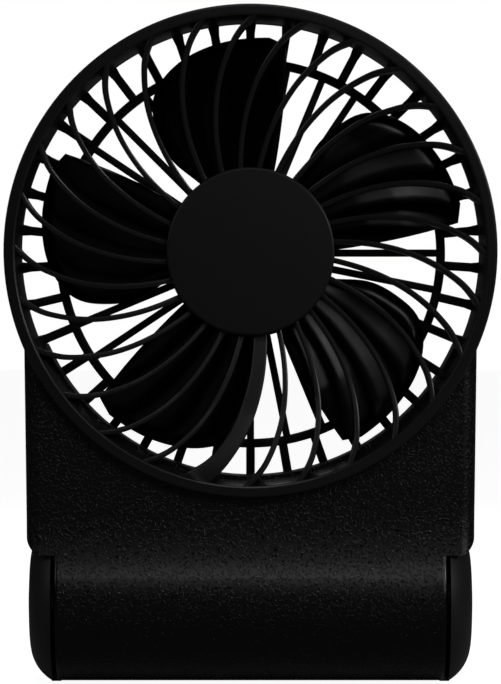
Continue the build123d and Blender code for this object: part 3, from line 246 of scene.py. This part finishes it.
# ABS from a spark-eroded mould: shiny flat islands between duller pits, so light breaks into specks.
# The height is island + fine share * fine noise, and the barrel's two ends are polished.
def sparkErodedPlastic(name):
    material, tree, shader, where = newMaterial(name)
    s = grainedAbs
    islands = addNode(tree, "ShaderNodeTexNoise", {"Vector": where}, Scale=1000 / s["grainMm"], Detail=1.0,
                      Roughness=0.5, Distortion=0.5)
    plateau = addNode(tree, "ShaderNodeMapRange", {"Value": islands.outputs["Fac"]},
                      interpolation_type="SMOOTHSTEP", From_Min=s["islandEdge"][0],
                      From_Max=s["islandEdge"][1])
    fine = addNode(tree, "ShaderNodeTexNoise", {"Vector": where}, Scale=1000 / s["fineMm"], Detail=2.0)
    height = addNode(tree, "ShaderNodeMath", {0: fine.outputs["Fac"], 2: plateau.outputs["Result"]},
                     operation="MULTIPLY_ADD")
    height.inputs[1].default_value = s["fineShare"]
    axes = addNode(tree, "ShaderNodeSeparateXYZ", {"Vector": where})
    aside = addNode(tree, "ShaderNodeMath", {0: axes.outputs["X"]}, operation="ABSOLUTE")
    beyond = addNode(tree, "ShaderNodeMapRange", {"Value": aside.outputs[0]},
                     From_Min=s["polishedFromMm"] / 1000,
                     From_Max=(s["polishedFromMm"] + s["polishedOverMm"]) / 1000)
    below = addNode(tree, "ShaderNodeMath", {0: axes.outputs["Z"]}, operation="LESS_THAN")
    below.inputs[1].default_value = s["barrelTopMm"] / 1000
    polished = addNode(tree, "ShaderNodeMath", {0: beyond.outputs["Result"], 1: below.outputs[0]},
                       operation="MULTIPLY")
    grained = addNode(tree, "ShaderNodeMath", {1: polished.outputs[0]}, operation="SUBTRACT")
    grained.inputs[0].default_value = 1.0
    bump = addNode(tree, "ShaderNodeBump", {"Height": height.outputs[0], "Strength": grained.outputs[0]},
                   Distance=s["grainDepthMm"] / 1000)
    gloss = addNode(tree, "ShaderNodeMapRange", {"Value": plateau.outputs["Result"]},
                    To_Min=s["valleyRoughness"], To_Max=s["plateauRoughness"])
    rough = addNode(tree, "ShaderNodeMix", {"Factor": polished.outputs[0], "A": gloss.outputs["Result"]})
    rough.inputs["B"].default_value = s["polishedRoughness"]
    tree.links.new(rough.outputs["Result"], shader.inputs["Roughness"])
    tree.links.new(bump.outputs["Normal"], shader.inputs["Normal"])
    shader.inputs["Base Color"].default_value = linear(s["colour"])
    shader.inputs["Specular IOR Level"].default_value = s["specular"]
    shader.inputs["IOR"].default_value = plastic["ior"]
    return material


metal = {
    "scratchMm": 0.3,
    "glossChange": 0.08,
    # finish: colour, roughness
    "finishes": {
        "groundSteel": ("#c4c5c8", 0.28),
        "zincPlatedSteel": ("#b9bcc2", 0.36),
        "blackOxideSteel": ("#2b2b2c", 0.42),
        "nickelStrip": ("#cfc9bd", 0.25),
        "laminationSteel": ("#7d8086", 0.45),
        "enamelledCopper": ("#b0643a", 0.32),
    },
}


# Ground, plated or drawn metal: fine noise in the gloss stands for its faint scratches.
def finishedMetal(name):
    colour, roughness = metal["finishes"][name]
    material, tree, shader, where = newMaterial(name)
    scratch = addNode(tree, "ShaderNodeTexNoise", {"Vector": where}, Scale=1000 / metal["scratchMm"],
                      Detail=3.0)
    gloss = addNode(tree, "ShaderNodeMapRange", {"Value": scratch.outputs["Fac"]},
                    To_Min=roughness - metal["glossChange"], To_Max=roughness + metal["glossChange"])
    tree.links.new(gloss.outputs["Result"], shader.inputs["Roughness"])
    shader.inputs["Base Color"].default_value = linear(colour)
    shader.inputs["Metallic"].default_value = 1.0
    return material


finishes = {"grainedBlackAbs": sparkErodedPlastic("grainedBlackAbs")}
finishes.update({finish: mouldedPlastic(finish) for finish in plastic["finishes"]})
finishes.update({finish: finishedMetal(finish) for finish in metal["finishes"]})
print("materials made")

guard = {
    "headRadius": 55.0, "lip": 52.4, "throat": 51.2, "spigot": 52.7,
    "faceY": -17.0, "seatY": -14.0, "rearY": -9.0,
    "faceTilt": 3.5,                    # degrees by which the ring's face falls away to its outer edge
    "faceFlat": (0.7, 0.6),             # where the tilted face starts past the lip and ends before the edge
    "faceRound": 0.45, "seatRound": 0.15, "spigotRound": 0.1, "throatRound": 0.3,
    "lipBevel": [(0.0, 0.3, 0.08), (0.07, 0.19, 0.08), (0.45, 0.0, 0.15)],    # out, back and rounding
    "hub": [(17.1, -8.8, 0.1), (18.5, -8.8, 0.1), (18.5, -5.2, 0.25), (17.3, -5.2, 0.2)],
    "web": [(2.8, -7.4, 0.1), (17.6, -7.4, 0), (17.6, -6.0, 0), (2.8, -6.0, 0.1)],
    "vanes": 28, "firstAngle": 5.7, "vaneWidth": 1.2, "vaneSteps": 50,
    "ductVane": 6, "ductHub": 3.0, "ductRim": 4.8,    # the wide vane, which the motor's lead runs through
    "vaneBevel": (0.05, 0.13, 0.40),    # its distance from the side, its depth, and where the side begins
    "vaneRound": (0.06, 0.2),           # front and rear edges
    # the vane's middle line as radius and angle, and its front and rear as radius and y
    "line": [(18.2, 0.0), (28.0, 4.0), (38.0, 9.2), (46.0, 14.6), (49.6, 17.6), (52.8, 21.3), (56.0, 25.4)],
    "front": [(18.0, -8.85), (19.0, -8.85), (36.0, -12.5), (52.6, -16.8), (53.0, -16.9)],
    "rear": [(17.9, -5.2), (51.4, -9.0), (53.0, -9.0)],
    "vaneEnd": 52.6,
    "ringTurns": 320, "hubTurns": 160, "smoothAngle": 35,
}


# A vane: its section (width by depth, with bevelled front edges) is carried along the swept line.
# Point = line + across * side + (0, depth, 0), with the depth between the dished front and the rear.
def vaneShape(angle, hubWidth, rimWidth):
    g = guard
    line = smoothCurve(g["line"], g["vaneSteps"])
    radius, turn = line[:, 0], line[:, 1] + angle
    middle = aboutHead(radius, turn, 0)
    along = np.gradient(middle, axis=0)
    along /= np.linalg.norm(along, axis=1)[:, None]
    side = np.stack([-along[:, 2], 0 * along[:, 0], along[:, 0]], -1)
    widths = hubWidth + (rimWidth - hubWidth) * np.linspace(0, 1, g["vaneSteps"])
    fronts = np.interp(radius, *np.array(g["front"]).T)
    rears = np.interp(radius, *np.array(g["rear"]).T)
    flat, slope, fall = g["vaneBevel"]
    small, large = g["vaneRound"]
    section = []
    for half, front, rear in zip(widths / 2, fronts, rears):
        left = [(-half, front + fall, small), (-half + flat, front + slope, small),
                (-half + flat + slope * 2, front, small)]
        right = [(-x, y, rounding) for x, y, rounding in left[::-1]]
        section.append(roundedLoop(left + right + [(half, rear, large), (-half, rear, large)], steps=3))
    section = np.array(section)
    points = middle[:, None] + side[:, None] * section[..., :1]
    points[..., 1] = section[..., 1]
    reach = np.hypot(points[..., 0], points[..., 2] - headZ)
    within = np.minimum(1, g["vaneEnd"] / reach)      # the end follows the ring's wall
    points[..., 0] *= within
    points[..., 2] = headZ + (points[..., 2] - headZ) * within
    return points.reshape(-1, 3), barFaces(*points.shape[:2])


# Ring, hub and web are outlines carried round the head axis, and the vanes are set at even angles.
def makeGuard():
    g = guard
    lip, edge, face = g["lip"], g["headRadius"], g["faceY"]
    slope = math.tan(math.radians(g["faceTilt"]))
    inner, outer = g["faceFlat"]
    bevel = [(lip + out, face + back, rounding) for out, back, rounding in g["lipBevel"]]
    innerFace = (lip + inner, face + (inner - g["lipBevel"][-1][0]) * slope, 0)
    outerFace = (edge - outer, face + (edge - lip - outer) * slope, 0)
    ring = bevel + [innerFace, outerFace, (edge, face + (edge - lip) * slope, g["faceRound"]),
                    (edge, g["seatY"], g["seatRound"]), (g["spigot"], g["seatY"], 0),
                    (g["spigot"], g["rearY"], g["spigotRound"]),
                    (g["throat"], g["rearY"], g["throatRound"])]
    parts = [revolved(roundedLoop(ring, steps=6), g["ringTurns"]),
             revolved(roundedLoop(g["hub"], steps=4), g["hubTurns"]),
             revolved(roundedLoop(g["web"], steps=3), g["hubTurns"])]
    for k in range(g["vanes"]):
        duct = k == g["ductVane"]
        hubWidth = g["ductHub"] if duct else g["vaneWidth"]
        rimWidth = g["ductRim"] if duct else g["vaneWidth"]
        parts.append(vaneShape(g["firstAngle"] + k * 360 / g["vanes"], hubWidth, rimWidth))
    points, faces = joined(parts)
    piece = makePiece("guardMoulding", points, faces, finishes["guardBlackAbs"], "fan_body",
                      g["smoothAngle"])
    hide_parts("front_guard")


hubDisc = {
    "radius": 18.9, "front": -10.0, "rear": -8.8, "under": -9.4,
    "spigot": (16.0, 17.0), "spigotEnd": -7.5,
    "bevel": [(0.48, 0.0, 0.2), (0.08, 0.2, 0.1), (0.0, 0.4, 0.1)],    # in from the rim, back and rounding
    "rearRound": 0.12, "spigotRound": 0.1,
    "turns": 220, "smoothAngle": 35,
}


# A plain disc with a bevelled rim and a spigot behind it, carried round the head axis.
def makeHubDisc():
    h = hubDisc
    rim = [(h["radius"] - inward, h["front"] + back, rounding) for inward, back, rounding in h["bevel"]]
    inside, outside = h["spigot"]
    spigot = [(outside, h["rear"], 0), (outside, h["spigotEnd"], h["spigotRound"]),
              (inside, h["spigotEnd"], h["spigotRound"]), (inside, h["under"], h["spigotRound"])]
    outline = [(0, h["front"], 0), *rim, (h["radius"], h["rear"], h["rearRound"]), *spigot,
               (0, h["under"], 0)]
    points, faces = revolved(roundedLoop(outline, steps=5), h["turns"])
    piece = makePiece("hubDisc", points, faces, finishes["hubBlackAbs"], "fan_body",
                      h["smoothAngle"])
    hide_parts("hub_cap")


makeGuard()
makeHubDisc()
print("guard and hub made")

grille = {
    "front": 5.0, "rear": 7.2, "rim": (52.4, 53.5), "ring": (42.5, 44.5), "hub": 19.2, "round": 0.35,
    "hubRound": (0.3, 0.6),
    "innerSpokes": 32, "innerWidth": 1.65,
    "outerSpokes": 38, "outerWidth": 2.0,
    "outerFlare": (50.4, 52.95, 2.75),    # radius where a spoke starts to widen and ends, and its last width
    "outerSag": 1.03,                     # degrees by which the outer spokes hang down at both sides
    "overlap": 0.5,                       # how far a spoke runs into the rings
    "ringTurns": 240, "hubTurns": 160, "smoothAngle": 35,
}


# A spoke: its rounded section is carried along a radius, with a width given at several radii.
def spokeShape(angle, radii, widths):
    g = grille
    turn = math.radians(angle)
    out = np.array([math.cos(turn), 0, -math.sin(turn)])
    side = np.array([math.sin(turn), 0, math.cos(turn)])
    rings = []
    for radius, half in zip(radii, np.array(widths) / 2):
        corners = [(-half, g["front"]), (half, g["front"]), (half, g["rear"]), (-half, g["rear"])]
        section = roundedLoop([(*corner, g["round"]) for corner in corners], steps=4)
        ring = out * radius + side * section[:, :1] + [0, 0, headZ]
        ring[:, 1] = section[:, 1]
        rings.append(ring)
    points = np.array(rings)
    return points.reshape(-1, 3), barFaces(*points.shape[:2])


# Two rings and a disc carried round the head axis, with spokes at even angles. The outer spokes' angles
# are lowered by sag * cos(angle).
def makeGrille():
    g = grille
    front, rear, overlap = g["front"], g["rear"], g["overlap"]
    parts = []
    for low, high in (g["rim"], g["ring"]):
        corners = [(low, front), (high, front), (high, rear), (low, rear)]
        outline = roundedLoop([(*corner, g["round"]) for corner in corners], steps=4)
        parts.append(revolved(outline, g["ringTurns"]))
    frontRound, rearRound = g["hubRound"]
    disc = [(0, front, 0), (g["hub"], front, frontRound), (g["hub"], rear, rearRound), (0, rear, 0)]
    parts.append(revolved(roundedLoop(disc, steps=5), g["hubTurns"]))
    for k in range(g["innerSpokes"]):
        radii = [g["hub"] - overlap, g["ring"][0] + overlap]
        parts.append(spokeShape(k * 360 / g["innerSpokes"], radii, [g["innerWidth"]] * 2))
    flareFrom, end, endWidth = g["outerFlare"]
    for k in range(g["outerSpokes"]):
        angle = (k + 0.5) * 360 / g["outerSpokes"]
        parts.append(spokeShape(angle - g["outerSag"] * math.cos(math.radians(angle)),
                                [g["ring"][1] - overlap, flareFrom, end],
                                [g["outerWidth"], g["outerWidth"], endWidth]))
    points, faces = joined(parts)
    piece = makePiece("rearGrille", points, faces, finishes["grilleBlackAbs"], "fan_body",
                      g["smoothAngle"])
    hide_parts("rear_grille")


makeGrille()
print("rear grille made")

bladeWheel = {
    "blades": 5, "firstAngle": 257.0, "middle": -0.1, "thickness": 1.2,
    "pitch": 7.7, "rootSlope": 0.22,    # travel in mm per radian, at most this share of the radius
    "edgeRoll": 0.36,                   # slope with which the leading edge and the tip fall back
    "edgeRollWidth": 2.5,
    "edgeLift": 0.4,                    # moves the whole blade back by about half of the roll
    # extra slope round the shaft: amount, angle and width
    "bellies": [(0.05, 10.0, 7.0), (-0.11, -20.0, 8.0)],
    "halfSpan": 30.0,                   # half of the angle over which the bellies are levelled
    "rootFade": 9.0,                    # distance from the hub over which rolls and bellies grow
    "edgePower": 14,                    # the higher, the closer to the edges the thickness starts to fade
    "tipShare": 0.04,                   # outer share of the height that thins to a round tip
    "rows": 46, "columns": 60, "edgePoints": 400,
    "hub": 18.0, "hubWall": 1.8, "front": -4.6, "rear": 4.6, "web": 1.0,
    "wallRound": 0.2, "frontRound": 0.4, "rearRound": 0.6, "turns": 160, "smoothAngle": 40,
    # the two edges as radius and angle
    "lead": [(17.2, -22.0), (26.9, -27.4), (36.0, -24.0), (42.0, -18.6), (46.0, -8.6), (48.0, 4.0),
             (48.8, 18.0)],
    "trail": [(17.2, 30.0), (26.8, 27.4), (36.0, 25.4), (47.4, 23.0)],
}


# Points at even steps of length along the edge through (radius, angle) knots.
def evenEdge(knots, count):
    edge = smoothCurve(knots, count)
    turn = np.radians(edge[:, 1])
    flat = np.stack([edge[:, 0] * np.cos(turn), edge[:, 0] * np.sin(turn)], -1)
    length = np.concatenate([[0], np.cumsum(np.linalg.norm(np.diff(flat, axis=0), axis=1))])
    even = np.linspace(0, length[-1], count)
    return np.stack([np.interp(even, length, flat[:, k]) for k in (0, 1)], -1)


# How far the surface stands in front of the leading edge and tip at a distance d from them: the sum of
# roll * exp(-(d / width) ^ 3), less the lift.
def rolledBy(distance):
    b = bladeWheel
    depth = np.linspace(0, 40, 800)
    raised = np.cumsum(b["edgeRoll"] * np.exp(-(depth / b["edgeRollWidth"]) ** 3)) * depth[1]
    return np.interp(distance, depth, raised) - b["edgeLift"]


# Swell per mm of radius at an angle in degrees: the sum of the bellies' bell-shaped slopes, less the
# straight line through it, so that it doesn't turn the blade as a whole.
def swellAt(angle):
    b = bladeWheel
    degrees = np.linspace(-40, 40, 801)
    step = 0.1
    slope = sum(amount * np.exp(-((degrees - at) / width) ** 2) for amount, at, width in b["bellies"])
    swell = np.cumsum(slope) * math.radians(step)
    middle = np.abs(degrees) < b["halfSpan"] + step / 2
    swell -= np.polyval(np.polyfit(degrees[middle], swell[middle], 1), degrees)
    return np.interp(angle, degrees, swell)


# A blade: y = middle - pitch * angle - (roll + radius * swell), front and rear half a thickness away.
# The point at share u of the height and share v of the chord lies on the line between the two edges at u.
# The thickness fades at the rim as the square root of the distance to it, so the edges are round.
def bladeShape(angle):
    b = bladeWheel
    u = np.linspace(0, 1, b["rows"])
    v = (1 - np.cos(np.linspace(0, math.pi, b["columns"]))) / 2
    lead, trail = evenEdge(b["lead"], b["edgePoints"]), evenEdge(b["trail"], b["edgePoints"])
    share = np.linspace(0, 1, b["edgePoints"])
    onLead = np.stack([np.interp(u, share, lead[:, k]) for k in (0, 1)], -1)
    onTrail = np.stack([np.interp(u, share, trail[:, k]) for k in (0, 1)], -1)
    flat = onLead[:, None] * (1 - v)[None, :, None] + onTrail[:, None] * v[None, :, None]
    radius = np.hypot(flat[..., 0], flat[..., 1])
    turn = np.arctan2(flat[..., 1], flat[..., 0])
    distance = np.linalg.norm(flat[:, :, None] - lead[None, None], axis=-1).min(axis=2)
    spanwise = np.clip((radius - b["hub"]) / b["rootFade"], 0, 1)
    y = b["middle"] - np.minimum(b["pitch"], b["rootSlope"] * radius) * turn
    y = y - (rolledBy(distance) + radius * swellAt(np.degrees(turn))) * spanwise
    chordFade = np.sqrt(np.clip(1 - np.abs(2 * v - 1) ** b["edgePower"], 0, 1))[None]
    pastTip = np.clip((u - 1 + b["tipShare"]) / b["tipShare"], 0, 1)
    tipFade = np.sqrt(np.clip(1 - pastTip ** 2, 0, 1))[:, None]
    half = b["thickness"] / 2 * chordFade * tipFade * np.sqrt(1 + (b["pitch"] / radius) ** 2)
    front = aboutHead(radius, np.degrees(turn) + angle, y - half)
    rear = aboutHead(radius, np.degrees(turn) + angle, y + half)
    loop = np.concatenate([front, rear[:, ::-1]], axis=1)
    rows, columns = loop.shape[:2]
    k = np.arange(columns // 2 - 1)
    cap = np.stack([k, k + 1, columns - 2 - k, columns - 1 - k], -1)    # closes the root and the tip
    faces = [*gridFaces(rows, columns, False, True), *cap, *(cap + (rows - 1) * columns)]
    return loop.reshape(-1, 3), faces


# The hub cup is an outline carried round the head axis, with the blades at even angles.
def makeBladeWheel():
    b = bladeWheel
    inside, underWeb = b["hub"] - b["hubWall"], b["rear"] - b["web"]
    cup = [(inside, b["front"], b["wallRound"]), (b["hub"], b["front"], b["frontRound"]),
           (b["hub"], b["rear"], b["rearRound"]), (0, b["rear"], 0), (0, underWeb, 0),
           (inside, underWeb, b["wallRound"])]
    parts = [revolved(roundedLoop(cup, steps=5), b["turns"])]
    for k in range(b["blades"]):
        parts.append(bladeShape(b["firstAngle"] + k * 360 / b["blades"]))
    points, faces = joined(parts)
    piece = makePiece("bladeWheel", points, faces, finishes["polishedBlackAbs"], "rotor",
                      b["smoothAngle"])
    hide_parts("impeller")


makeBladeWheel()
print("blade wheel made")

solidFinishes = {           # pieces that keep their solid's shape
    "grainedBlackAbs": ["front_shell", "rear_shell"],
    "smoothBlackAbs": ["stand_frame", "left_hinge_cap", "right_hinge_cap", "stand_cover"],
    "polishedButtonAbs": ["power_button"],
    "naturalNylon": ["bearing_tube", "friction_washers"],
    "blackNylon": ["tact_switch", "switch_plunger"],
    "siliconeRubber": ["foot_pads"],
    "solderMask": ["motor_board", "main_board"],
    "chipEpoxy": ["board_chips"],
    "cellSleeve": ["battery_cell"],
    "smokedLens": ["status_leds", "light_pipe"],
    "leadInsulation": ["motor_lead", "battery_leads"],
    "sinteredFerrite": ["rotor_magnet"],
    "groundSteel": ["usb_c_socket", "motor_shaft", "shaft_clip", "motor_bearings"],
    "zincPlatedSteel": ["stand_screws", "motor_screws", "board_screws", "rotor_cup", "ballast_plate",
                        "hinge_pins", "spring_washers", "hinge_nuts"],
    "blackOxideSteel": ["shell_screws"],
    "nickelStrip": ["battery_tabs"],
    "laminationSteel": ["stator_core"],
    "enamelledCopper": ["stator_coils"],
}
for finish, nodes in solidFinishes.items():
    for node in nodes:
        mesh = frame["nodes"][node].data
        mesh.materials.clear()
        mesh.materials.append(finishes[finish])
print("solids dressed")

stage = {
    "floorTone": 0.28,          # what lights and reflections get from the floor
    "floorSeen": (0.5, 0.94),   # tone that takes the shadow, and glow, as the camera sees the floor
    "floorEdges": (-6, 6, -3, 9),
    "studioTone": 0.035,        # dim studio that black plastic mirrors
    "camera": (0.0, -0.8379, 0.07776),
    "lens": 187.9,
    "lampAim": (0.0, -0.04, 0.075),
    "lampDistance": 0.7,
    # name: turn to the right, rise, size of the square in m, and light on a surface that faces it
    # (1 renders a colour as it is written)
    "lamps": {
        "keySoftbox": (1, 40, 0.20, 0.21),
        "upperRightSoftbox": (25, 26, 0.14, 0.11),
        "rightSoftbox": (41, 13, 0.12, 0.10),
        "rightEdgeLamp": (60, 22, 0.10, 0.20),
        "leftFill": (-62, 28, 0.30, 0.11),
        "backSoftbox": (168, 42, 0.50, 0.16),
    },
}


# 1 for camera and transmission rays, 0 for every other ray.
def seenDirectly(tree):
    path = addNode(tree, "ShaderNodeLightPath")
    rays = {0: path.outputs["Is Camera Ray"], 1: path.outputs["Is Transmission Ray"]}
    return addNode(tree, "ShaderNodeMath", rays, operation="MAXIMUM").outputs[0]


# White to the camera and a dim studio to every other ray.
def makeWorld():
    world = bpy.data.worlds.new("paleStudio")
    scene.world = world
    world.use_nodes = True
    tree = world.node_tree
    tree.nodes.clear()
    tone = addNode(tree, "ShaderNodeMix", {"Factor": seenDirectly(tree)}, data_type="RGBA")
    tone.inputs["A"].default_value = [stage["studioTone"]] * 3 + [1]
    tone.inputs["B"].default_value = [1, 1, 1, 1]
    back = addNode(tree, "ShaderNodeBackground", {"Color": tone.outputs["Result"]})
    addNode(tree, "ShaderNodeOutputWorld", {"Surface": back.outputs[0]})


# Near-white to the camera, where it keeps the fan's faint shadow, and a plain pale floor to other rays.
def makeFloor():
    left, right, near, far = stage["floorEdges"]
    mesh = bpy.data.meshes.new("floor")
    corners = [(left, near, 0), (right, near, 0), (right, far, 0), (left, far, 0)]
    mesh.from_pydata(corners, [], [(0, 1, 2, 3)])
    floor = bpy.data.objects.new("floor", mesh)
    scene.collection.objects.link(floor)
    material = bpy.data.materials.new("paleFloor")
    material.use_nodes = True
    tree = material.node_tree
    tree.nodes.clear()
    tone, glow = stage["floorSeen"]
    white = addNode(tree, "ShaderNodeBsdfDiffuse", Color=(tone, tone, tone, 1))
    light = addNode(tree, "ShaderNodeEmission", Color=(1, 1, 1, 1), Strength=glow)
    seen = addNode(tree, "ShaderNodeAddShader", {0: white.outputs[0], 1: light.outputs[0]})
    other = addNode(tree, "ShaderNodeBsdfDiffuse", Color=(stage["floorTone"],) * 3 + (1,))
    both = addNode(tree, "ShaderNodeMixShader",
                   {0: seenDirectly(tree), 1: other.outputs[0], 2: seen.outputs[0]})
    addNode(tree, "ShaderNodeOutputMaterial", {"Surface": both.outputs[0]})
    mesh.materials.append(material)


# Square soft lamps on a sphere round the fan. A lamp of level * (pi * distance) ^ 2 watts lights a facing
# surface at that distance with that level.
def makeLamps():
    aim, distance = Vector(stage["lampAim"]), stage["lampDistance"]
    for name, (turn, rise, size, level) in stage["lamps"].items():
        a, b = math.radians(turn), math.radians(rise)
        toLamp = Vector((math.sin(a) * math.cos(b), -math.cos(a) * math.cos(b), math.sin(b)))
        lamp = bpy.data.lights.new(name, "AREA")
        lamp.shape = "SQUARE"
        lamp.size = size
        lamp.energy = level * (math.pi * distance) ** 2
        holder = bpy.data.objects.new(name, lamp)
        holder.location = aim + toLamp * distance
        holder.rotation_euler = toLamp.to_track_quat("Z", "Y").to_euler()
        scene.collection.objects.link(holder)


def makeCamera():
    lens = bpy.data.cameras.new("frontCamera")
    lens.lens = stage["lens"]
    lens.sensor_width = 36
    lens.clip_start = 0.05
    lens.clip_end = 50
    camera = bpy.data.objects.new("frontCamera", lens)
    camera.location = stage["camera"]
    camera.rotation_euler = (math.radians(90), 0, 0)    # level, looking along y
    scene.collection.objects.link(camera)
    scene.camera = camera
    scene.view_settings.view_transform = "Standard"


makeWorld()
makeFloor()
makeLamps()
makeCamera()
print("stage made")

bpy.context.view_layer.update()
